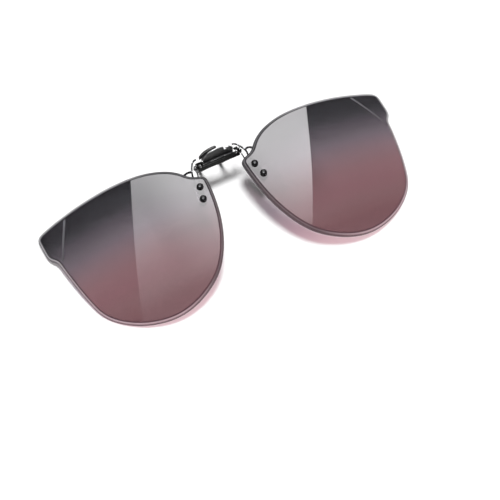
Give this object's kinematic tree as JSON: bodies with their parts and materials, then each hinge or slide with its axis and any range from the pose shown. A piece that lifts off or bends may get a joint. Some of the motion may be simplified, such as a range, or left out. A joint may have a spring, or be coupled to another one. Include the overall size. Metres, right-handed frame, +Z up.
{
  "type": "clip-on flip-up sunglasses",
  "caption": "Rimless tinted lenses with a bevelled edge on a sprung flip-up clip whose rubber-padded legs grip a pair of spectacles.",
  "frame": {"origin": "on the table under the middle of the object's box, as it is put down lenses up with the clip's legs propping the nose side", "axes": "+X along the pair of lenses to the viewer's right, +Y towards the lenses' upper edges, +Z up off the table"},
  "size_m": [0.143, 0.0568, 0.0227],
  "materials": {
    "tinted_lens": "polished grey to rose gradient tint with a thin mirror coat",
    "gunmetal": "gunmetal plated, satin",
    "black_metal": "gloss black plated",
    "steel": "bright drawn wire and pressed steel",
    "nylon": "natural nylon",
    "rubber": "matt black"
  },
  "bodies": {
    "lens_front": {"flip_rod": "steel", "left_brace_bar": "steel", "left_lens": "tinted_lens", "left_lens_bracket": "steel", "left_lower_rivet": "black_metal", "left_lower_rivet_collar": "steel", "left_lower_washer": "nylon", "left_main_wire_arm": "steel", "left_rod_eyelet": "steel", "left_thin_strut": "steel", "left_upper_rivet": "black_metal", "left_upper_rivet_collar": "steel", "left_upper_washer": "nylon", "right_brace_bar": "steel", "right_lens": "tinted_lens", "right_lens_bracket": "steel", "right_lower_rivet": "black_metal", "right_lower_rivet_collar": "steel", "right_lower_washer": "nylon", "right_main_wire_arm": "steel", "right_rod_eyelet": "steel", "right_thin_strut": "steel", "right_upper_rivet": "black_metal", "right_upper_rivet_collar": "steel", "right_upper_washer": "nylon"},
    "clip_body": {"clip_channel": "gunmetal", "detent_leaf_spring": "steel", "left_end_pin": "steel", "right_end_pin": "steel", "left_front_leg_pad": "rubber", "right_front_leg_pad": "rubber", "jaw_torsion_spring": "steel"},
    "rear_jaw": {"rear_jaw": "black_metal", "press_tab_pad": "rubber", "left_rear_leg_pad": "rubber", "right_rear_leg_pad": "rubber"}
  },
  "joints": [
    {"name": "flip_hinge", "type": "hinge", "parent": "lens_front", "child": "clip_body", "pos_m": [0, 0.01898, 0.01526], "axis": [-1, 0, 0], "range_deg": [-40, 112]},
    {"name": "jaw_squeeze", "type": "hinge", "parent": "clip_body", "child": "rear_jaw", "pos_m": [0, 0.01898, 0.01526], "axis": [1, 0, 0], "range_deg": [0, 28], "stiffness_Nm_per_rad": 0.03, "springref_deg": -28.65, "deforming": ["jaw_torsion_spring"]}
  ]
}
